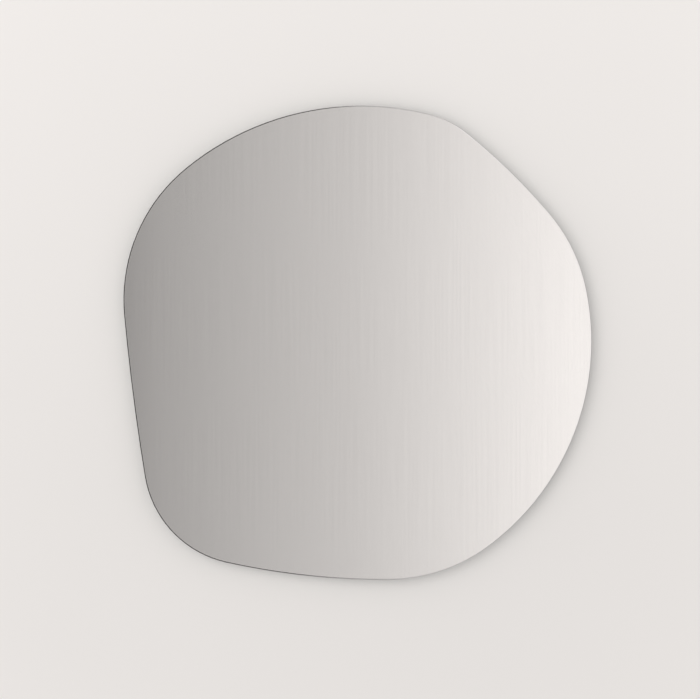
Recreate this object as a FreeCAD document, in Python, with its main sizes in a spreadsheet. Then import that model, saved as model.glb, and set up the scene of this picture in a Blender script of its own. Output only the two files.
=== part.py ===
import FreeCAD, Part
import math
import os
import Sketcher

# A frameless wall mirror with an irregular rounded outline, hung on a pair of aluminium Z rails.
#
# Frame: the wall is the plane y = 0 and the room lies on the -Y side, so that +X is to the
# right of somebody who looks at the mirror and +Z is up. The origin is on the wall, in the
# middle of the wall rail's row of screw holes. From the wall outward come the two rails,
# the backing board, the tape and adhesive, the film, the paint, the silver and the glass.

# Driving sizes in millimetres and degrees.
SIZES = {
    # Corner circles of the glass outline: centre from the outline's middle, and radius.
    "right_x": 96,
    "right_z": 30,
    "right_r": 251,
    "top_right_x": 66,
    "top_right_z": 189,
    "top_right_r": 158,
    "upper_left_x": -96,
    "upper_left_z": 64,
    "upper_left_r": 254,
    "bottom_left_x": -162,
    "bottom_left_z": -175,
    "bottom_left_r": 158,
    "bottom_right_x": 44,
    "bottom_right_z": -103,
    "bottom_right_r": 252,
    # How far each side bows out past the straight line that touches its two corner circles.
    "upper_right_bow": 3,
    "top_bow": 21,
    "left_bow": 2,
    "bottom_bow": 5.5,
    "lower_right_bow": 21.5,
    # Where the mirror hangs: its outline's middle from the middle of the wall rail's holes.
    "hang_shift": 8,
    "hang_drop": 160,
    # Glass and the coats on its back.
    "glass_thickness": 5,
    "arris_width": 1.5,
    "back_arris_width": 0.5,
    "silver_thickness": 0.1,
    "paint_thickness": 0.1,
    "film_thickness": 0.2,
    "film_inset": 4,
    # Tape and adhesive between film and board: upright strips, how far the middle of the
    # outermost ones lies from the board's sides, and how far their ends lie from its edge.
    "bond_thickness": 1.2,
    "bond_side": 70,
    "bond_margin": 25,
    "tape_width": 25,
    "bead_width": 14,
    # Backing board, set back from the glass edge all round.
    "board_thickness": 9,
    "board_inset": 40,
    "board_bevel": 1,
    # Aluminium Z rail, used twice: one on the wall, one turned over on the board.
    "rail_length": 400,
    "rail_base": 24,
    "rail_lip": 12,
    "rail_metal": 2.5,
    "rail_play": 0.3,
    "rail_round": 0.5,
    "hole_diameter": 5,
    "hole_end": 50,
    "hole_count": 4,
    # Pan head wood screw, used for the board rail and for the bumpers.
    "screw_cover": 2.5,
    "screw_diameter": 3.5,
    "screw_tip": 2,
    "head_diameter": 7,
    "head_height": 2.2,
    "head_rim": 0.8,
    "cross_width": 1,
    "cross_span": 3.6,
    "cross_depth": 1.2,
    "pilot_play": 0.05,
    "pilot_spare": 0.5,
    # Rubber bumper between the board and the wall.
    "bumper_diameter": 20,
    "bumper_taper": 1.5,
    "bumper_floor": 2.7,
    "bumper_round": 0.8,
    "bumper_edge": 30,
    "bumper_hole_play": 0.1,
    "bumper_head_play": 1,
    "upper_left_angle": 165,
    "upper_right_angle": 20,
    "lower_left_angle": 225,
    "lower_right_angle": 310,
}

# Corner circles anticlockwise as seen from the room, each with the bow of the side after it.
OUTLINE = (
    ("right", "upper_right_bow"),
    ("top_right", "top_bow"),
    ("upper_left", "left_bow"),
    ("bottom_left", "bottom_bow"),
    ("bottom_right", "lower_right_bow"),
)

# Bumpers: name, and the corner circle that each one sits in.
BUMPERS = (
    ("upper_left", "upper_left"),
    ("upper_right", "right"),
    ("lower_left", "bottom_left"),
    ("lower_right", "bottom_right"),
)

# Edge treatments, never more than their piece has room for.
ARRIS = "min(Sizes.arris_width; Sizes.glass_thickness / 3)"
BACK_ARRIS = "min(Sizes.back_arris_width; Sizes.glass_thickness / 3)"
BOARD_BEVEL = "min(Sizes.board_bevel; Sizes.board_thickness / 3)"
RAIL_ROUND = "min(Sizes.rail_round; Sizes.rail_metal / 4)"

# Space between the wall and the board: two thicknesses of metal with play on every side.
RAIL_DEPTH = "(2 * Sizes.rail_metal + 3 * Sizes.rail_play)"
BOARD_FRONT = f"({RAIL_DEPTH} + Sizes.board_thickness)"
FILM_BACK = f"({BOARD_FRONT} + Sizes.bond_thickness)"
PAINT_BACK = f"({FILM_BACK} + Sizes.film_thickness)"
SILVER_BACK = f"({PAINT_BACK} + Sizes.paint_thickness)"
GLASS_BACK = f"({SILVER_BACK} + Sizes.silver_thickness)"

# The board rail hangs with its web on the wall rail's lip.
BOARD_RAIL_RISE = "(Sizes.rail_base + Sizes.rail_lip)"

# The screws go through the rail and leave the screw cover of board in front of their points.
SCREW_LENGTH = "(Sizes.rail_metal + Sizes.board_thickness - Sizes.screw_cover)"

# Upright strips across the board: a tape, two beads, a tape, two beads, a tape.
STRIPS = 7
TAPE_STEP = 3
TAPE_NAMES = ("left", "middle", "right")

# Distance, and volume, below which two things count as the same.
TOUCH = 1e-6


def make_sheet(doc):
    """Puts the driving sizes in the document's spreadsheet, one named cell each."""
    sheet = doc.addObject("Spreadsheet::Sheet", "Sizes")
    for row, (name, value) in enumerate(SIZES.items(), start=1):
        sheet.set(f"A{row}", name)
        sheet.set(f"B{row}", str(value))
        sheet.setAlias(f"B{row}", name)
    doc.recompute()
    return sheet


def number(owner, expression):
    """Value of an expression in the spreadsheet's cells."""
    value = owner.evalExpression(expression)
    return float(getattr(value, "Value", value))


def place(obj, x, y, z):
    """Binds the position of a sub-part."""
    for axis, expression in zip("xyz", (x, y, z)):
        obj.setExpression(f"Placement.Base.{axis}", str(expression))


def new_body(doc, name, x=0, y=0, z=0):
    """Body whose label names its file, at the place that three expressions give."""
    body = doc.addObject("PartDesign::Body", name)
    body.Label = name
    place(body, x, y, z)
    return body


def new_sketch(body, role, name):
    """Sketch on one of the body's own origin planes."""
    sketch = body.newObject("Sketcher::SketchObject", name)
    plane = next(item for item in body.Origin.OriginFeatures if item.Role == role)
    sketch.AttachmentSupport = [(plane, "")]
    sketch.MapMode = "FlatFace"
    return sketch


def bind_constraint(sketch, constraint, expression):
    """Adds a dimension to a sketch and binds it to an expression."""
    index = sketch.addConstraint(constraint)
    sketch.setExpression(f"Constraints[{index}]", expression)


def bind_point(sketch, geometry, point, x, y):
    """Holds a point of a sketch at the place that two expressions give."""
    for kind, expression in (("DistanceX", x), ("DistanceY", y)):
        value = number(sketch, expression)
        constraint = Sketcher.Constraint(kind, -1, 1, geometry, point, value)
        bind_constraint(sketch, constraint, expression)


def polygon(sketch, points):
    """Closed polygon through points given as pairs of expressions."""
    places = [FreeCAD.Vector(number(sketch, x), number(sketch, y), 0) for x, y in points]
    count = len(points)
    for index, start in enumerate(places):
        sketch.addGeometry(Part.LineSegment(start, places[(index + 1) % count]))
    for index, (x, y) in enumerate(points):
        previous = (index - 1) % count
        sketch.addConstraint(Sketcher.Constraint("Coincident", previous, 2, index, 1))
        bind_point(sketch, index, 1, x, y)


def circle(sketch, x, y, radius):
    """Circle with its centre and radius bound to expressions."""
    centre = FreeCAD.Vector(number(sketch, x), number(sketch, y), 0)
    shape = Part.Circle(centre, FreeCAD.Vector(0, 0, 1), number(sketch, radius))
    index = sketch.addGeometry(shape)
    bind_point(sketch, index, 3, x, y)
    bind_constraint(sketch, Sketcher.Constraint("Radius", index, shape.Radius), radius)


def pad(body, name, sketch, length, midplane=False):
    """Solid on the side that the sketch faces, or on both sides of it."""
    feature = body.newObject("PartDesign::Pad", name)
    feature.Profile = sketch
    feature.setExpression("Length", length)
    feature.Midplane = midplane
    return feature


def pocket(body, name, sketch, depth):
    """Cut on the side that the sketch faces, which must take something away."""
    body.Document.recompute()
    before = body.Shape.Volume
    feature = body.newObject("PartDesign::Pocket", name)
    feature.Profile = sketch
    feature.setExpression("Length", depth)
    feature.Reversed = True
    body.Document.recompute()
    if body.Shape.Volume > before - TOUCH:
        raise RuntimeError(f"{body.Label}: {name} cuts nothing")
    return feature


def revolve(body, name, sketch):
    """Full turn about the sketch's own upright axis."""
    feature = body.newObject("PartDesign::Revolution", name)
    feature.Profile = sketch
    feature.ReferenceAxis = (sketch, ["V_Axis"])
    feature.Angle = 360
    return feature


def dress(body, kind, name, base, wanted, size_property, size):
    """Fillet or chamfer on those edges of the base that a test picks out."""
    body.Document.recompute()
    names = [f"Edge{index}" for index, edge in enumerate(base.Shape.Edges, start=1) if wanted(edge)]
    feature = body.newObject(kind, name)
    feature.Base = (base, names)
    feature.setExpression(size_property, size)
    return feature


def lies_at(edge, y):
    """Whether an edge lies in the plane at y."""
    return abs(edge.BoundBox.YMin - y) < TOUCH and abs(edge.BoundBox.YMax - y) < TOUCH


# ---------------------------------------------------------------- outline

def side_radius(corner, following, bow):
    """Expression for the radius of the arc that bows out between two corner circles."""
    step = f"(Sizes.{corner}_r - Sizes.{following}_r)"
    width = f"(Sizes.{following}_x - Sizes.{corner}_x)"
    height = f"(Sizes.{following}_z - Sizes.{corner}_z)"
    run = f"sqrt({width}^2 + {height}^2 - {step}^2)"
    along = f"({run} / 2 - Sizes.{bow} * {step} / {run})"
    return f"(Sizes.{corner}_r + ({along}^2 + Sizes.{bow}^2) / (2 * Sizes.{bow}))"


def side_centre(corner, following, radius):
    """Centre of a side's arc: it touches both circles from outside, and lies within the outline."""
    (x, z, corner_r), (next_x, next_z, next_r) = corner, following
    gap = math.hypot(next_x - x, next_z - z)
    along_x, along_z = (next_x - x) / gap, (next_z - z) / gap
    reach, next_reach = radius - corner_r, radius - next_r
    along = (reach ** 2 - next_reach ** 2 + gap ** 2) / (2 * gap)
    inward = math.sqrt(reach ** 2 - along ** 2)
    return x + along_x * along - along_z * inward, z + along_z * along + along_x * inward


def outline_arcs(owner):
    """The outline's arcs in order: centre x and z, expression for radius, start and end angle."""
    corners = []
    for name, _ in OUTLINE:
        corners.append([number(owner, f"Sizes.{name}_{letter}") for letter in "xzr"])
    sides = []
    for index, (name, bow) in enumerate(OUTLINE):
        following = (index + 1) % len(OUTLINE)
        expression = side_radius(name, OUTLINE[following][0], bow)
        radius = number(owner, expression)
        sides.append((*side_centre(corners[index], corners[following], radius), expression))
    arcs = []
    for index, (name, _) in enumerate(OUTLINE):
        x, z, _ = corners[index]
        next_x, next_z, _ = corners[(index + 1) % len(OUTLINE)]
        before_x, before_z, _ = sides[index - 1]
        side_x, side_z, expression = sides[index]
        start = math.atan2(z - before_z, x - before_x)
        join = math.atan2(z - side_z, x - side_x)
        end = math.atan2(next_z - side_z, next_x - side_x)
        arcs.append((x, z, f"Sizes.{name}_r", start, join))
        arcs.append((side_x, side_z, expression, join, end))
    return arcs


def draw_outline(sketch, inset):
    """Closed chain of tangent arcs, the glass outline drawn in by the inset."""
    arcs = outline_arcs(sketch)
    for x, z, radius, start, end in arcs:
        shape = Part.Circle(FreeCAD.Vector(x, z, 0), FreeCAD.Vector(0, 0, 1), 1)
        shape.Radius = number(sketch, f"{radius} - {inset}")
        sketch.addGeometry(Part.ArcOfCircle(shape, start, end))
    for index in range(len(arcs)):
        following = (index + 1) % len(arcs)
        sketch.addConstraint(Sketcher.Constraint("Tangent", index, 2, following, 1))
    for index, (name, _) in enumerate(OUTLINE):
        bind_point(sketch, 2 * index, 3, f"Sizes.{name}_x", f"Sizes.{name}_z")
    for index, (_, _, radius, _, _) in enumerate(arcs):
        expression = f"{radius} - {inset}"
        constraint = Sketcher.Constraint("Radius", index, number(sketch, expression))
        bind_constraint(sketch, constraint, expression)


def slab(doc, name, back, thickness, inset):
    """Flat piece that follows the outline, from the depth of its back face towards the room."""
    body = new_body(doc, name, "Sizes.hang_shift", f"-{back}", "-Sizes.hang_drop")
    sketch = new_sketch(body, "XZ_Plane", f"{name}_outline")
    draw_outline(sketch, inset)
    feature = pad(body, f"{name}_pad", sketch, thickness)
    return body, feature


# ---------------------------------------------------------------- glass and its coats

def make_glass(doc):
    """Float glass with an arris ground on its front edge, and a finer one on its back edge."""
    glass, blank = slab(doc, "glass_pane", GLASS_BACK, "Sizes.glass_thickness", "0")
    front = -number(glass, "Sizes.glass_thickness")

    def front_rim(edge):
        return lies_at(edge, front)

    def back_rim(edge):
        return lies_at(edge, 0)

    arris = dress(glass, "PartDesign::Chamfer", "arris", blank, front_rim, "Size", ARRIS)
    dress(glass, "PartDesign::Chamfer", "back_arris", arris, back_rim, "Size", BACK_ARRIS)
    return glass


def make_coats(doc):
    """Silver and its paint up to the back arris, and the safety film a little further in."""
    coats = (
        ("silver_layer", SILVER_BACK, "Sizes.silver_thickness", BACK_ARRIS),
        ("protective_paint", PAINT_BACK, "Sizes.paint_thickness", BACK_ARRIS),
        ("safety_film", FILM_BACK, "Sizes.film_thickness", "Sizes.film_inset"),
    )
    return [slab(doc, *coat)[0] for coat in coats]


# ---------------------------------------------------------------- backing board

def hole_x(index):
    """Expression for the place of a rail hole along the rail, from the rail's middle."""
    spacing = "(Sizes.rail_length - 2 * Sizes.hole_end) / (Sizes.hole_count - 1)"
    return f"(({index} - (Sizes.hole_count - 1) / 2) * {spacing})"


def bumper_place(name, corner):
    """Expressions for a bumper's place, from the outline's middle."""
    reach = f"(Sizes.{corner}_r - Sizes.board_inset - Sizes.bumper_edge)"
    angle = f"(Sizes.{name}_angle * 1 deg)"
    x = f"(Sizes.{corner}_x + {reach} * cos({angle}))"
    z = f"(Sizes.{corner}_z + {reach} * sin({angle}))"
    return x, z


def make_board(doc, screw_count):
    """Board with a bevelled back edge and a blind pilot hole for every screw."""
    thickness, inset = "Sizes.board_thickness", "Sizes.board_inset"
    board, blank = slab(doc, "backing_board", RAIL_DEPTH, thickness, inset)

    def back_rim(edge):
        return lies_at(edge, 0)

    dress(board, "PartDesign::Chamfer", "back_bevel", blank, back_rim, "Size", BOARD_BEVEL)
    pilot_radius = "(Sizes.screw_diameter / 2 + Sizes.pilot_play)"
    rail_sketch = new_sketch(board, "XZ_Plane", "rail_pilots")
    for index in range(screw_count):
        x = f"{hole_x(index)} - Sizes.hang_shift"
        circle(rail_sketch, x, f"{BOARD_RAIL_RISE} + Sizes.hang_drop", pilot_radius)
    rail_bite = f"{SCREW_LENGTH} - Sizes.rail_metal + Sizes.pilot_spare"
    pocket(board, "rail_pilot_holes", rail_sketch, rail_bite)
    bumper_sketch = new_sketch(board, "XZ_Plane", "bumper_pilots")
    for name, corner in BUMPERS:
        circle(bumper_sketch, *bumper_place(name, corner), pilot_radius)
    bumper_bite = f"{SCREW_LENGTH} - Sizes.bumper_floor + Sizes.pilot_spare"
    pocket(board, "bumper_pilot_holes", bumper_sketch, bumper_bite)
    return board


# ---------------------------------------------------------------- tape and adhesive

def upright_reach(board, x):
    """Lowest and highest point of the board on the upright line at x."""
    y = board.Shape.BoundBox.Center.y
    far = board.Shape.BoundBox.DiagonalLength
    line = Part.makeLine(FreeCAD.Vector(x, y, -far), FreeCAD.Vector(x, y, far))
    inside = line.common(board.Shape).BoundBox
    return inside.ZMin, inside.ZMax


def strip_ends(board, x, width):
    """Bottom and top of an upright strip that keeps its margin from the board's edge."""
    left_low, left_high = upright_reach(board, x - width / 2)
    right_low, right_high = upright_reach(board, x + width / 2)
    margin = number(board, "Sizes.bond_margin")
    return max(left_low, right_low) + margin, min(left_high, right_high) - margin


def make_tape(doc, name, board, middle):
    """Upright strip of double-sided foam tape, cut square."""
    low, high = strip_ends(board, middle, number(board, "Sizes.tape_width"))
    tape = doc.addObject("Part::Box", name)
    tape.Label = name
    tape.setExpression("Length", "Sizes.tape_width")
    tape.setExpression("Width", "Sizes.bond_thickness")
    tape.Height = high - low
    place(tape, f"{middle} - Sizes.tape_width / 2", f"-{FILM_BACK}", low)
    return tape


def make_bead(doc, name, board, middle):
    """Upright bead of mirror adhesive with round ends, pressed flat between board and film."""
    width = number(board, "Sizes.bead_width")
    low, high = strip_ends(board, middle, width)
    bead = new_body(doc, name, middle, f"-{BOARD_FRONT}", low)
    sketch = new_sketch(bead, "XZ_Plane", f"{name}_plan")
    radius = width / 2
    rise = FreeCAD.Vector(0, high - low - width, 0)
    foot = FreeCAD.Vector(0, radius, 0)
    right, left = FreeCAD.Vector(radius, radius, 0), FreeCAD.Vector(-radius, radius, 0)
    for centre, start in ((foot, math.pi), (foot + rise, 0)):
        end = Part.Circle(centre, FreeCAD.Vector(0, 0, 1), radius)
        sketch.addGeometry(Part.ArcOfCircle(end, start, start + math.pi))
    sketch.addGeometry(Part.LineSegment(right, right + rise))
    sketch.addGeometry(Part.LineSegment(left + rise, left))
    for first, second in ((0, 2), (2, 1), (1, 3), (3, 0)):
        sketch.addConstraint(Sketcher.Constraint("Tangent", first, 2, second, 1))
    bind_point(sketch, 0, 3, "0", "Sizes.bead_width / 2")
    bind_point(sketch, 1, 3, "0", f"{high - low} - Sizes.bead_width / 2")
    for index in (0, 1):
        constraint = Sketcher.Constraint("Radius", index, radius)
        bind_constraint(sketch, constraint, "Sizes.bead_width / 2")
    pad(bead, f"{name}_pad", sketch, "Sizes.bond_thickness")
    return bead


def make_bonds(doc, board):
    """Evenly spaced upright strips of tape and adhesive, from side to side of the board."""
    box = board.Shape.BoundBox
    side = number(board, "Sizes.bond_side")
    pitch = (box.XLength - 2 * side) / (STRIPS - 1)
    parts = []
    for index in range(STRIPS):
        middle = box.XMin + side + index * pitch
        tapes, beads = index // TAPE_STEP, index - index // TAPE_STEP
        if index % TAPE_STEP == 0:
            parts.append(make_tape(doc, f"foam_tape_{TAPE_NAMES[tapes]}", board, middle))
        else:
            parts.append(make_bead(doc, f"adhesive_bead_{beads}", board, middle))
    return parts


# ---------------------------------------------------------------- rails

def make_rail(doc, name, screw_count):
    """Z rail: base on the wall, web at its top, and a lip that stands up clear of the wall."""
    rail = new_body(doc, name)
    profile = new_sketch(rail, "YZ_Plane", f"{name}_profile")
    half = "(Sizes.rail_base / 2)"
    lip_back = "-(Sizes.rail_metal + 2 * Sizes.rail_play)"
    lip_front = "-(2 * Sizes.rail_metal + 2 * Sizes.rail_play)"
    lip_top = f"({half} + Sizes.rail_lip)"
    web_underside = f"({half} - Sizes.rail_metal)"
    polygon(profile, (
        ("0", f"-{half}"),
        ("0", half),
        (lip_back, half),
        (lip_back, lip_top),
        (lip_front, lip_top),
        (lip_front, web_underside),
        ("-Sizes.rail_metal", web_underside),
        ("-Sizes.rail_metal", f"-{half}"),
    ))
    bar = pad(rail, f"{name}_bar", profile, "Sizes.rail_length", midplane=True)

    def long_edge_off_wall(edge):
        box = edge.BoundBox
        return box.YLength < TOUCH and box.ZLength < TOUCH and box.YMax < -TOUCH

    rounding = f"{name}_rounding"
    dress(rail, "PartDesign::Fillet", rounding, bar, long_edge_off_wall, "Radius", RAIL_ROUND)
    holes = new_sketch(rail, "XZ_Plane", f"{name}_holes")
    for index in range(screw_count):
        circle(holes, hole_x(index), "0", "Sizes.hole_diameter / 2")
    pocket(rail, f"{name}_screw_holes", holes, "Sizes.rail_metal")
    return rail


def make_board_rail(doc, screw_count):
    """The same rail turned over on the board, its lip behind the wall rail's lip."""
    rail = make_rail(doc, "board_rail", screw_count)
    turned_over = FreeCAD.Rotation(FreeCAD.Vector(1, 0, 0), 180)
    rail.Placement = FreeCAD.Placement(FreeCAD.Vector(), turned_over)
    place(rail, 0, f"-{RAIL_DEPTH}", BOARD_RAIL_RISE)
    return rail


# ---------------------------------------------------------------- screws and bumpers

def make_screw(doc, name, x, y, z):
    """Pan head screw with a cross recess; its head's seat is at y, its point towards the room."""
    screw = new_body(doc, name, x, y, z)
    profile = new_sketch(screw, "XY_Plane", f"{name}_profile")
    polygon(profile, (
        ("0", "Sizes.head_height"),
        ("0", f"-{SCREW_LENGTH}"),
        ("Sizes.screw_diameter / 2", f"Sizes.screw_tip - {SCREW_LENGTH}"),
        ("Sizes.screw_diameter / 2", "0"),
        ("Sizes.head_diameter / 2", "0"),
        ("Sizes.head_diameter / 2", "Sizes.head_height"),
    ))
    blank = revolve(screw, f"{name}_blank", profile)
    top = number(screw, "Sizes.head_height")

    def crown(edge):
        return lies_at(edge, top)

    crown_radius = "Sizes.head_height - Sizes.head_rim"
    dress(screw, "PartDesign::Fillet", f"{name}_crown", blank, crown, "Radius", crown_radius)
    recess = new_sketch(screw, "XZ_Plane", f"{name}_recess")
    recess.setExpression("AttachmentOffset.Base.z", "-Sizes.head_height")
    wide, near = "Sizes.cross_span / 2", "Sizes.cross_width / 2"
    polygon(recess, (
        (near, near), (near, wide), (f"-{near}", wide),
        (f"-{near}", near), (f"-{wide}", near), (f"-{wide}", f"-{near}"),
        (f"-{near}", f"-{near}"), (f"-{near}", f"-{wide}"), (near, f"-{wide}"),
        (near, f"-{near}"), (wide, f"-{near}"), (wide, near),
    ))
    pocket(screw, f"{name}_cross", recess, "Sizes.cross_depth")
    return screw


def make_bumper(doc, name, x, z):
    """Tapered rubber bumper from the board's back to the wall, with a sunk seat for its screw."""
    bumper = new_body(doc, name, x, f"-{RAIL_DEPTH}", z)
    profile = new_sketch(bumper, "XY_Plane", f"{name}_profile")
    hole = "(Sizes.screw_diameter / 2 + Sizes.bumper_hole_play)"
    sink = "(Sizes.head_diameter / 2 + Sizes.bumper_head_play)"
    top_radius = "(Sizes.bumper_diameter / 2 - Sizes.bumper_taper)"
    polygon(profile, (
        (hole, "0"),
        ("Sizes.bumper_diameter / 2", "0"),
        (top_radius, RAIL_DEPTH),
        (sink, RAIL_DEPTH),
        (sink, "Sizes.bumper_floor"),
        (hole, "Sizes.bumper_floor"),
    ))
    blank = revolve(bumper, f"{name}_blank", profile)
    top = number(bumper, RAIL_DEPTH)
    width = 2 * number(bumper, top_radius)

    def top_rim(edge):
        return lies_at(edge, top) and abs(edge.BoundBox.XLength - width) < TOUCH

    dress(bumper, "PartDesign::Fillet", f"{name}_rounding", blank, top_rim, "Radius", "Sizes.bumper_round")
    return bumper


def make_board_fasteners(doc, screw_count):
    """Screws of the board rail, and the bumpers with theirs."""
    parts = []
    rail_seat = f"(Sizes.rail_metal - {RAIL_DEPTH})"
    for index in range(screw_count):
        name = f"board_rail_screw_{index + 1}"
        parts.append(make_screw(doc, name, hole_x(index), rail_seat, BOARD_RAIL_RISE))
    bumper_seat = f"(Sizes.bumper_floor - {RAIL_DEPTH})"
    for name, corner in BUMPERS:
        x, z = bumper_place(name, corner)
        x, z = f"{x} + Sizes.hang_shift", f"{z} - Sizes.hang_drop"
        parts.append(make_bumper(doc, f"bumper_{name}", x, z))
        parts.append(make_screw(doc, f"bumper_screw_{name}", x, bumper_seat, z))
    return parts


# ---------------------------------------------------------------- the whole mirror

def make_mirror(doc):
    """Every sub-part, from the glass back to the wall."""
    screw_count = round(number(doc.Sizes, "Sizes.hole_count"))
    board = make_board(doc, screw_count)
    parts = [make_glass(doc), *make_coats(doc), *make_bonds(doc, board), board]
    parts += [make_board_rail(doc, screw_count), *make_board_fasteners(doc, screw_count)]
    parts.append(make_rail(doc, "wall_rail", screw_count))
    return parts


def check(doc, parts):
    """Stops if any object failed, or if a sub-part isn't one sound solid."""
    for obj in doc.Objects:
        if "Invalid" in obj.State or "Error" in obj.State:
            raise RuntimeError(f"{obj.Label}: {obj.State}")
    for part in parts:
        if part.Shape.isNull() or not part.Shape.isValid() or len(part.Shape.Solids) != 1:
            raise RuntimeError(f"{part.Label}: shape is not one sound solid")


def main():
    doc = FreeCAD.newDocument("irregular_mirror")
    make_sheet(doc)
    parts = make_mirror(doc)
    doc.recompute()
    check(doc, parts)
    os.makedirs("parts", exist_ok=True)
    for part in parts:
        part.Shape.exportStep(f"parts/{part.Label}.step")
        box = part.Shape.BoundBox
        print(f"{part.Label}: {box.XLength:.1f} x {box.YLength:.1f} x {box.ZLength:.1f} mm")


main()
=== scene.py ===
import math

import bpy
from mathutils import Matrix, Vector


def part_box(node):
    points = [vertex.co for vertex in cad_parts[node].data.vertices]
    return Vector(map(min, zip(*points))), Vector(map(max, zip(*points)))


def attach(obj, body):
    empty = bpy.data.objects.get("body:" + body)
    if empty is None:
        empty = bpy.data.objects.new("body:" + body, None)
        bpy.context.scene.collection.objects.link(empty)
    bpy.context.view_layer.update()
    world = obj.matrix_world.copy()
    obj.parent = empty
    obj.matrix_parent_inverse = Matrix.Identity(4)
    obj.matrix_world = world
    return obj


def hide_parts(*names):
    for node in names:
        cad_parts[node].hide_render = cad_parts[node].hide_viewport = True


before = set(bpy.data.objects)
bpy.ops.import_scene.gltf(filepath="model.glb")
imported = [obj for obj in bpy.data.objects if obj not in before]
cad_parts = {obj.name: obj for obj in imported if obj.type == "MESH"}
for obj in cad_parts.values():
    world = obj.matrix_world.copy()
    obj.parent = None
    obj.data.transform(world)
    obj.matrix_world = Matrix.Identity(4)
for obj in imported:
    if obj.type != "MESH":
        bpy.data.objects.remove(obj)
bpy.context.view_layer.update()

# Looks of a frameless mirror with an irregular rounded outline. Metres, in the frame of the
# CAD: the wall is the plane y = 0, the room lies on the -Y side and +Z is up.

# ---------------------------------------------------------------- camera, stage and light

FRAME_WIDTH = 1.0470            # what the picture spans at the front of the glass
AIM_X, AIM_Z = -0.00305, -0.17045
LENS, SENSOR = 135.0, 36.0      # millimetres

FLOOR_Z = -1.6
WALL_HALF_WIDTH, WALL_TOP = 3.0, 1.8
FLOOR_HALF_WIDTH = 7.0

# Distances from the middle at which the stage begins to turn into the background.
WALL_FADE_SIDE, WALL_FADE_TOP, FLOOR_FADE = 1.9, 1.0, 2.0

PALE = (0.796, 0.765, 0.742, 1.0)       # stage paint, and the background far away
STUDIO_TONE = (1.0, 0.946, 0.923, 1.0)  # what the mirror sees of the studio, at full strength
STUDIO_FLOOR = 0.58                     # level that it sees there well below itself
STUDIO_STRENGTH = 1.033
PLAIN_LEVEL = 0.74                      # even light from all sides

# Suns: where each one stands as seen from the mirror, its W per square metre, its degrees.
KEY_SUN = (-0.47, -1.0, 0.17), 0.90, 62
BACK_SUN = (0.5, 0.8, 0.6), 0.30, 40

# ---------------------------------------------------------------- sizes on the mirror

# Gap between the glass and the silver's own piece, so that no two faces lie in one plane.
SILVER_PLAY = 0.00002

# Front arris of the glass, and a near-black hairline of painted shade where it meets the ground
# edge.
ARRIS_WIDTH, PAINTED_SHADE_LINE_WIDTH = 0.0015, 0.0002

# Distance between two threads of the safety film.
THREAD_PITCH = 0.0016


# ---------------------------------------------------------------- nodes

class Nodes:
    """Node tree of a material or of the world, with a short call for each kind of node."""

    def __init__(self, tree):
        tree.nodes.clear()
        self.tree = tree

    def add(self, kind, inputs=(), **settings):
        node = self.tree.nodes.new(kind)
        for name, value in settings.items():
            setattr(node, name, value)
        for key, value in dict(inputs).items():
            if isinstance(value, bpy.types.NodeSocket):
                self.tree.links.new(value, node.inputs[key])
            else:
                node.inputs[key].default_value = value
        return node

    def maths(self, operation, first, second=0.0):
        inputs = {0: first, 1: second}
        return self.add("ShaderNodeMath", inputs, operation=operation).outputs[0]

    def squares(self, first, second):
        """Sum of the squares of two values."""
        pair = [self.maths("MULTIPLY", value, value) for value in (first, second)]
        return self.maths("ADD", *pair)

    def parts(self, vector):
        return self.add("ShaderNodeSeparateXYZ", {0: vector}).outputs

    def place(self):
        """Place on the object in metres, in the frame of the CAD."""
        return self.add("ShaderNodeTexCoord").outputs["Object"]

    def facing(self):
        """X, Y and Z of the flat face's own outward normal, also where it is met from inside."""
        geometry = self.add("ShaderNodeNewGeometry").outputs
        outward = self.maths("SUBTRACT", 1.0, self.maths("MULTIPLY", geometry["Backfacing"], 2.0))
        inputs = {0: geometry["True Normal"], "Scale": outward}
        normal = self.add("ShaderNodeVectorMath", inputs, operation="SCALE").outputs[0]
        return self.parts(normal)

    def stretched(self, x, y, z):
        inputs = {0: self.place(), 1: (x, y, z)}
        return self.add("ShaderNodeVectorMath", inputs, operation="MULTIPLY").outputs[0]

    def noise(self, scale, vector=None, detail=3.0, roughness=0.5, distortion=0.0):
        inputs = {"Vector": vector or self.place(), "Scale": scale}
        inputs.update({"Detail": detail, "Roughness": roughness, "Distortion": distortion})
        return self.add("ShaderNodeTexNoise", inputs).outputs[0]

    def cells(self, scale):
        inputs = {"Vector": self.place(), "Scale": scale}
        return self.add("ShaderNodeTexVoronoi", inputs).outputs["Distance"]

    def remap(self, value, low, high, new_low=0.0, new_high=1.0, smooth=False):
        inputs = {0: value, 1: low, 2: high, 3: new_low, 4: new_high}
        kind = "SMOOTHSTEP" if smooth else "LINEAR"
        return self.add("ShaderNodeMapRange", inputs, interpolation_type=kind).outputs[0]

    def mix(self, amount, first, second):
        node = self.add("ShaderNodeMix", data_type="RGBA")
        for index, value in ((0, amount), (6, first), (7, second)):
            if isinstance(value, bpy.types.NodeSocket):
                self.tree.links.new(value, node.inputs[index])
            else:
                node.inputs[index].default_value = value
        return node.outputs[2]

    def ramp(self, value, *stops):
        node = self.add("ShaderNodeValToRGB", {0: value})
        elements = node.color_ramp.elements
        while len(elements) < len(stops):
            elements.new(0.5)
        for element, (position, painted_light_level) in zip(elements, stops):
            element.position = position
            element.color = (painted_light_level, painted_light_level, painted_light_level, 1.0)
        return node.outputs[0]

    def bump(self, height, distance):
        inputs = {"Height": height, "Distance": distance}
        return self.add("ShaderNodeBump", inputs).outputs[0]

    def either(self, amount, first, second):
        return self.add("ShaderNodeMixShader", {0: amount, 1: first, 2: second}).outputs[0]


def new_material(name):
    material = bpy.data.materials.new(name)
    material.use_nodes = True
    return material, Nodes(material.node_tree)


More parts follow.
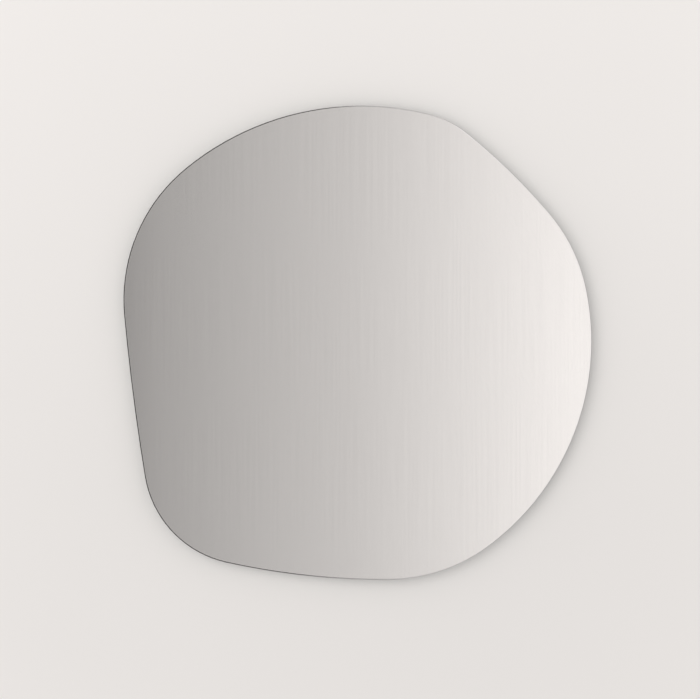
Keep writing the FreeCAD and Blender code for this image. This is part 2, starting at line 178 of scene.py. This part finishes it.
def surface(nodes, **inputs):
    """The one shader of a piece's material; inputs are named as its sockets are."""
    named = {key.replace("_", " "): value for key, value in inputs.items()}
    shader = nodes.add("ShaderNodeBsdfPrincipled", named)
    nodes.add("ShaderNodeOutputMaterial", {0: shader.outputs[0]})


def grey(painted_light_level):
    return (painted_light_level, painted_light_level, painted_light_level, 1.0)


# ---------------------------------------------------------------- materials of the mirror

def glass_material():
    """Clear float glass with faint smears, a ground green edge and a bright polished arris.

    The arris mirrors the studio from outside. From inside it lets light out unchanged.
    """
    material, nodes = new_material("float_glass")
    depth = nodes.facing()[1]
    ground_edge = nodes.remap(nodes.maths("ABSOLUTE", depth), 0.9, 0.8)
    turned_front = nodes.remap(depth, -0.5, -0.6)
    arris = nodes.maths("MULTIPLY", ground_edge, turned_front)
    inside = nodes.add("ShaderNodeNewGeometry").outputs["Backfacing"]
    let_out = nodes.maths("SUBTRACT", 1.0, nodes.maths("MULTIPLY", arris, inside))
    low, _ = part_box("glass_pane")
    # Painted shade: a near-black hairline along the arris's outer rim, for the dark line at the
    # glass's edge.
    painted_shade_line_start = low.y + ARRIS_WIDTH - PAINTED_SHADE_LINE_WIDTH
    beyond = nodes.maths("GREATER_THAN", nodes.parts(nodes.place())[1], painted_shade_line_start)
    painted_shade_hairline = nodes.maths("MULTIPLY", arris, beyond)
    grind = nodes.noise(1.0, nodes.stretched(900, 2600, 900), detail=2.0)
    edge_green = nodes.mix(grind, (0.36, 0.60, 0.51, 1.0), (0.48, 0.72, 0.63, 1.0))
    body = nodes.mix(ground_edge, (0.988, 0.992, 0.989, 1.0), edge_green)
    polished = nodes.mix(arris, body, (0.93, 0.94, 0.94, 1.0))
    smears = nodes.noise(1.0, nodes.stretched(9, 9, 3), detail=5.0, roughness=0.7)
    polish = nodes.remap(smears, 0.55, 0.8, 0.0, 0.012)
    matt = nodes.remap(grind, 0.3, 0.7, 0.28, 0.36)
    glint = nodes.remap(grind, 0.3, 0.7, 0.03, 0.10)
    edge_roughness = nodes.mix(arris, matt, glint)
    surface(
        nodes,
        # The hairline's near-black colour is painted shade.
        Base_Color=nodes.mix(painted_shade_hairline, polished, grey(0.05)),
        Metallic=nodes.maths("SUBTRACT", arris, painted_shade_hairline),
        Roughness=nodes.mix(ground_edge, polish, edge_roughness),
        IOR=1.52,
        Alpha=let_out,
        Transmission_Weight=nodes.remap(ground_edge, 0.0, 1.0, 1.0, 0.5),
    )
    return material


def silver_material():
    """Silver coat, with the faint upright streaks of the line that it was poured on."""
    material, nodes = new_material("silver_coat")
    streaks = nodes.noise(1.0, nodes.stretched(360, 1, 4), detail=1.0)
    shade = nodes.remap(streaks, 0.3, 0.7)
    surface(
        nodes,
        Base_Color=nodes.mix(shade, (0.924, 0.926, 0.925, 1.0), (0.946, 0.948, 0.947, 1.0)),
        Metallic=1.0,
        Roughness=0.0,
    )
    return material


def paint_material():
    """Grey-green protective paint with the slight ripple of a poured coat."""
    material, nodes = new_material("mirror_back_paint")
    ripple = nodes.noise(420.0, detail=2.0)
    flow = nodes.noise(1.0, nodes.stretched(14, 14, 140), detail=4.0)
    surface(
        nodes,
        Base_Color=nodes.mix(flow, (0.20, 0.245, 0.235, 1.0), (0.27, 0.315, 0.30, 1.0)),
        Roughness=nodes.remap(ripple, 0.3, 0.7, 0.30, 0.42),
        Normal=nodes.bump(ripple, 0.00002),
    )
    return material


def film_material():
    """Safety film: a fine plain weave under clear plastic, with a few trapped bubbles."""
    material, nodes = new_material("safety_film_weave")
    x, _, z = nodes.parts(nodes.place())
    warp = nodes.maths("SINE", nodes.maths("MULTIPLY", x, math.pi / THREAD_PITCH))
    weft = nodes.maths("SINE", nodes.maths("MULTIPLY", z, math.pi / THREAD_PITCH))
    weave = nodes.remap(nodes.maths("MULTIPLY", warp, weft), -1.0, 1.0)
    bubbles = nodes.remap(nodes.cells(62.0), 0.07, 0.02, smooth=True)
    creases = nodes.noise(1.0, nodes.stretched(7, 7, 30), detail=5.0, roughness=0.6)
    threads = nodes.mix(weave, (0.25, 0.27, 0.29, 1.0), (0.40, 0.42, 0.44, 1.0))
    clouded = nodes.mix(nodes.remap(creases, 0.35, 0.75), threads, (0.36, 0.375, 0.39, 1.0))
    relief = nodes.maths("ADD", weave, nodes.maths("MULTIPLY", bubbles, 3.0))
    surface(
        nodes,
        Base_Color=clouded,
        Roughness=nodes.remap(creases, 0.3, 0.7, 0.30, 0.48),
        Coat_Weight=0.35,
        Coat_Roughness=0.18,
        Normal=nodes.bump(relief, 0.00009),
    )
    return material


def board_material():
    """Fibreboard: sanded faces of matted fibres, and darker open fibre on the sawn edge."""
    material, nodes = new_material("fibreboard")
    depth = nodes.facing()[1]
    sawn = nodes.remap(nodes.maths("ABSOLUTE", depth), 0.95, 0.6)
    matted = {"detail": 6.0, "roughness": 0.72, "distortion": 2.2}
    fibres = nodes.noise(1.0, nodes.stretched(760, 900, 300), **matted)
    crossed = nodes.noise(1.0, nodes.stretched(300, 900, 760), **matted)
    speckle = nodes.maths("MULTIPLY", nodes.maths("ADD", fibres, crossed), 0.5)
    blotches = nodes.noise(6.0, detail=4.0, roughness=0.6)
    flecks = nodes.remap(nodes.noise(700.0, detail=2.0, distortion=1.0), 0.66, 0.76)
    face = nodes.mix(
        nodes.remap(speckle, 0.36, 0.64),
        (0.40, 0.262, 0.150, 1.0),
        (0.60, 0.425, 0.270, 1.0),
    )
    aged = nodes.mix(nodes.remap(blotches, 0.3, 0.7, 0.0, 0.35), face, (0.47, 0.32, 0.19, 1.0))
    flecked = nodes.mix(nodes.maths("MULTIPLY", flecks, 0.6), aged, (0.20, 0.12, 0.065, 1.0))
    edge = nodes.mix(speckle, (0.20, 0.125, 0.068, 1.0), (0.40, 0.27, 0.165, 1.0))
    relief = nodes.mix(sawn, nodes.maths("MULTIPLY", speckle, 0.35), speckle)
    surface(
        nodes,
        Base_Color=nodes.mix(sawn, flecked, edge),
        Roughness=nodes.remap(speckle, 0.3, 0.7, 0.62, 0.80),
        Normal=nodes.bump(relief, 0.00022),
    )
    return material


def foam_material():
    """White closed-cell foam of the double-sided tape."""
    material, nodes = new_material("tape_foam")
    cells = nodes.cells(1300.0)
    surface(
        nodes,
        Base_Color=nodes.mix(cells, grey(0.60), grey(0.80)),
        Roughness=0.85,
        Normal=nodes.bump(cells, 0.0002),
    )
    return material


def adhesive_material():
    """Off-white cured mirror adhesive, with the waves that pressing leaves."""
    material, nodes = new_material("cured_adhesive")
    waves = nodes.noise(85.0, detail=3.0)
    surface(
        nodes,
        Base_Color=nodes.mix(waves, (0.60, 0.56, 0.48, 1.0), (0.74, 0.70, 0.62, 1.0)),
        Roughness=nodes.remap(waves, 0.3, 0.7, 0.28, 0.5),
        Subsurface_Weight=0.1,
        Normal=nodes.bump(waves, 0.0004),
    )
    return material


def aluminium_material():
    """Natural anodised extrusion: die lines along the rail, saw marks across its ends."""
    material, nodes = new_material("anodised_extrusion")
    along = nodes.maths("ABSOLUTE", nodes.facing()[0])
    sawn_end = nodes.remap(along, 0.7, 0.95)
    die_lines = nodes.noise(1.0, nodes.stretched(3, 2300, 2300), detail=4.0, roughness=0.65)
    saw_marks = nodes.noise(1.0, nodes.stretched(1, 260, 3400), detail=3.0)
    bands = nodes.noise(1.0, nodes.stretched(1.5, 330, 330), detail=3.0)
    drawn = nodes.maths("MULTIPLY", nodes.maths("ADD", die_lines, bands), 0.5)
    lines = nodes.mix(sawn_end, nodes.remap(drawn, 0.35, 0.65), saw_marks)
    handling = nodes.noise(1.0, nodes.stretched(26, 60, 60), detail=6.0, roughness=0.7)
    tone = nodes.mix(lines, (0.64, 0.65, 0.655, 1.0), (0.84, 0.85, 0.855, 1.0))
    dull = nodes.remap(handling, 0.45, 0.75, 0.0, 0.5)
    surface(
        nodes,
        Base_Color=nodes.mix(dull, tone, (0.58, 0.585, 0.59, 1.0)),
        Metallic=1.0,
        Roughness=nodes.remap(handling, 0.3, 0.7, 0.30, 0.44),
        Anisotropic=0.35,
        Normal=nodes.bump(lines, 0.00003),
    )
    return material


def steel_material():
    """Zinc-plated steel, a little blue and a little straw-coloured in turns."""
    material, nodes = new_material("zinc_plate")
    bloom = nodes.noise(240.0, detail=4.0, roughness=0.6)
    pits = nodes.noise(2600.0, detail=2.0)
    surface(
        nodes,
        Base_Color=nodes.mix(bloom, (0.58, 0.61, 0.66, 1.0), (0.74, 0.71, 0.64, 1.0)),
        Metallic=1.0,
        Roughness=nodes.remap(bloom, 0.3, 0.7, 0.20, 0.36),
        Normal=nodes.bump(pits, 0.00001),
    )
    return material


def rubber_material():
    """Moulded black rubber with a dull bloom and a little dust."""
    material, nodes = new_material("moulded_rubber")
    grain = nodes.noise(1500.0, detail=3.0, roughness=0.6)
    dust = nodes.remap(nodes.noise(110.0, detail=6.0, roughness=0.75), 0.52, 0.72)
    surface(
        nodes,
        Base_Color=nodes.mix(dust, (0.022, 0.022, 0.023, 1.0), (0.060, 0.058, 0.055, 1.0)),
        Roughness=nodes.remap(grain, 0.3, 0.7, 0.55, 0.75),
        Normal=nodes.bump(grain, 0.00004),
    )
    return material


MATERIALS = {
    "clear_glass": glass_material,
    "silver": silver_material,
    "back_paint": paint_material,
    "film": film_material,
    "board": board_material,
    "foam": foam_material,
    "adhesive": adhesive_material,
    "rail_aluminium": aluminium_material,
    "screw_steel": steel_material,
    "rubber": rubber_material,
}


def dress_nodes():
    """Gives every CAD node the detailed material of its slot."""
    made = {slot: make() for slot, make in MATERIALS.items()}
    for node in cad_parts.values():
        for held in node.material_slots:
            held.material = made[held.material.name]
    return made


def make_silver_sheet(material):
    """The silver layer, a hair thinner, so that the glass and it don't share a plane."""
    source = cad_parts["silver_layer"]
    low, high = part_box("silver_layer")
    middle = (low.y + high.y) / 2
    mesh = source.data.copy()
    mesh.name = "silver_sheet"
    thinning = 1 - 2 * SILVER_PLAY / (high.y - low.y)
    for vertex in mesh.vertices:
        vertex.co.y = middle + (vertex.co.y - middle) * thinning
    mesh.materials.clear()
    mesh.materials.append(material)
    sheet = bpy.data.objects.new("silver_sheet", mesh)
    bpy.context.scene.collection.objects.link(sheet)
    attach(sheet, "mirror")
    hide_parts("silver_layer")


# ---------------------------------------------------------------- stage

def stage_tone_with_painted_light(nodes, x, z):
    """Colour of the paint, with painted light: lighter towards the top, the left and the
    picture's corners.
    """
    upward = nodes.remap(z, -0.75, 0.4, 0.967, 1.041, smooth=True)
    across = nodes.remap(x, -0.6, 0.5, 1.010, 0.994, smooth=True)
    apart = nodes.squares(x, nodes.maths("SUBTRACT", z, AIM_Z))
    outward = nodes.remap(apart, 0.1, 0.6, 1.0, 1.042)
    mottle = nodes.remap(nodes.noise(3.0, detail=2.0), 0.3, 0.7, 0.996, 1.004)
    # Painted light: the paint's own colour is made lighter towards the top, the left and the
    # corners.
    painted_light_level = nodes.maths("MULTIPLY", nodes.maths("MULTIPLY", upward, across), outward)
    inputs = {0: PALE[:3], "Scale": nodes.maths("MULTIPLY", painted_light_level, mottle)}
    return nodes.add("ShaderNodeVectorMath", inputs, operation="SCALE").outputs[0]


def stage_material(name, faded):
    """Pale matt paint with painted light on it, seen from its front alone, that turns into the
    background far away.

    Lamps and even light reach through it, so that the back of the mirror is lit too.
    """
    material, nodes = new_material(name)
    x, y, z = nodes.parts(nodes.place())
    paint = nodes.add("ShaderNodeBsdfDiffuse", {"Color": stage_tone_with_painted_light(nodes, x, z)}).outputs[0]
    background = nodes.add("ShaderNodeEmission", {"Color": PALE}).outputs[0]
    near_and_far = nodes.either(faded(nodes, x, y, z), paint, background)
    clear = nodes.add("ShaderNodeBsdfTransparent").outputs[0]
    path = nodes.add("ShaderNodeLightPath").outputs
    behind = nodes.add("ShaderNodeNewGeometry").outputs["Backfacing"]
    lighting = nodes.maths("MAXIMUM", path["Is Shadow Ray"], path["Is Diffuse Ray"])
    hidden = nodes.maths("MAXIMUM", behind, lighting)
    nodes.add("ShaderNodeOutputMaterial", {0: nodes.either(hidden, near_and_far, clear)})
    return material


def wall_fade(nodes, x, _, z):
    """How far the wall has turned into the background: towards its sides and its top."""
    aside = nodes.maths("ABSOLUTE", x)
    sides = nodes.remap(aside, WALL_FADE_SIDE, WALL_HALF_WIDTH, smooth=True)
    top = nodes.remap(z, WALL_FADE_TOP, WALL_TOP, smooth=True)
    return nodes.maths("MAXIMUM", sides, top)


def floor_fade(nodes, x, y, _):
    """How far the floor has turned into the background: on every side."""
    away = nodes.maths("SQRT", nodes.squares(x, y))
    return nodes.remap(away, FLOOR_FADE, FLOOR_HALF_WIDTH, smooth=True)


def stage_sheet(name, corners, material):
    """Flat sheet of the stage that neither the mirror nor the glass shows."""
    mesh = bpy.data.meshes.new(name)
    mesh.from_pydata(corners, [], [(0, 1, 2, 3)])
    mesh.materials.append(material)
    sheet = bpy.data.objects.new(name, mesh)
    sheet.visible_glossy = False
    sheet.visible_transmission = False
    bpy.context.scene.collection.objects.link(sheet)


def make_stage():
    """Wall at the CAD's wall plane, and a floor."""
    w, f = WALL_HALF_WIDTH, FLOOR_HALF_WIDTH
    wall = [(-w, 0, FLOOR_Z), (w, 0, FLOOR_Z), (w, 0, WALL_TOP), (-w, 0, WALL_TOP)]
    floor = [(-f, -f, FLOOR_Z), (f, -f, FLOOR_Z), (f, f, FLOOR_Z), (-f, f, FLOOR_Z)]
    stage_sheet("wall", wall, stage_material("wall_paint", wall_fade))
    stage_sheet("floor", floor, stage_material("floor_paint", floor_fade))


# ---------------------------------------------------------------- light and camera

def make_world():
    """Even light for matt surfaces, and a studio for the mirror and the metal to reflect.

    That studio is dark to the left of the mirror and bright to its right, with a soft
    passage straight in front of it. The camera sees the stage's own paint far away.
    """
    world = bpy.data.worlds.new("studio")
    world.use_nodes = True
    bpy.context.scene.world = world
    nodes = Nodes(world.node_tree)
    direction = nodes.add("ShaderNodeTexCoord").outputs["Generated"]
    x, y, z = nodes.parts(direction)
    ahead = nodes.maths("ABSOLUTE", y)
    slope = nodes.maths("DIVIDE", x, nodes.maths("MAXIMUM", ahead, 0.02))
    front = nodes.ramp(
        nodes.remap(slope, -0.5, 0.5),
        (0.0, 0.34), (0.25, 0.24), (0.4085, 0.31), (0.4275, 0.40),
        (0.5, 0.602), (0.587, 0.957), (0.63, 1.0), (1.0, 0.86),
    )
    side = nodes.ramp(
        nodes.remap(x, -1.0, 1.0),
        (0.0, 0.03), (0.3, 0.045), (0.43, 0.12), (0.5, 0.44), (0.8, 0.9), (1.0, 1.0),
    )
    turned = nodes.remap(ahead, 0.45, 0.15, smooth=True)
    walls = nodes.mix(turned, front, side)
    lowered = nodes.remap(z, -0.17, -0.75, smooth=True)
    below = nodes.maths("MULTIPLY", lowered, nodes.remap(ahead, 0.15, 0.45, smooth=True))
    room = nodes.mix(below, walls, grey(STUDIO_FLOOR))
    toned = nodes.mix(1.0, STUDIO_TONE, room)
    toned.node.blend_type = "MULTIPLY"
    behind = nodes.ramp(
        nodes.remap(z, -1.0, 1.0),
        (0.0, 0.30), (0.45, 0.58), (0.7, 1.0), (1.0, 0.8),
    )
    studio = nodes.mix(nodes.remap(y, 0.25, 0.65, smooth=True), toned, behind)
    path = nodes.add("ShaderNodeLightPath").outputs
    mirrored = nodes.maths("MAXIMUM", path["Is Glossy Ray"], path["Is Transmission Ray"])
    even = nodes.add("ShaderNodeBackground", {"Color": grey(1.0), "Strength": PLAIN_LEVEL})
    seen = nodes.add("ShaderNodeBackground", {"Color": PALE, "Strength": 1.0})
    inputs = {"Color": studio, "Strength": STUDIO_STRENGTH}
    reflected = nodes.add("ShaderNodeBackground", inputs)
    light = nodes.either(mirrored, even.outputs[0], reflected.outputs[0])
    shown = nodes.either(path["Is Camera Ray"], light, seen.outputs[0])
    nodes.add("ShaderNodeOutputWorld", {0: shown})


def make_sun(name, towards, strength, spread):
    """Broad soft lamp that the mirror doesn't show."""
    lamp = bpy.data.lights.new(name, "SUN")
    lamp.energy = strength
    lamp.angle = math.radians(spread)
    sun = bpy.data.objects.new(name, lamp)
    sun.rotation_mode = "QUATERNION"
    sun.rotation_quaternion = Vector(towards).to_track_quat("Z", "Y")
    sun.visible_glossy = False
    sun.visible_transmission = False
    bpy.context.scene.collection.objects.link(sun)


def make_camera():
    """Long lens, square on to the wall."""
    low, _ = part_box("glass_pane")
    data = bpy.data.cameras.new("camera")
    data.lens = LENS
    data.sensor_width = SENSOR
    camera = bpy.data.objects.new("camera", data)
    distance = FRAME_WIDTH * LENS / SENSOR
    camera.location = (AIM_X, low.y - distance, AIM_Z)
    camera.rotation_euler = (math.pi / 2, 0.0, 0.0)
    bpy.context.scene.collection.objects.link(camera)
    bpy.context.scene.camera = camera


# ---------------------------------------------------------------- the scene

bpy.context.scene.view_settings.view_transform = "Standard"
make_camera()
materials = dress_nodes()
make_silver_sheet(materials["silver"])
make_stage()
make_world()
make_sun("key", *KEY_SUN)
make_sun("back", *BACK_SUN)
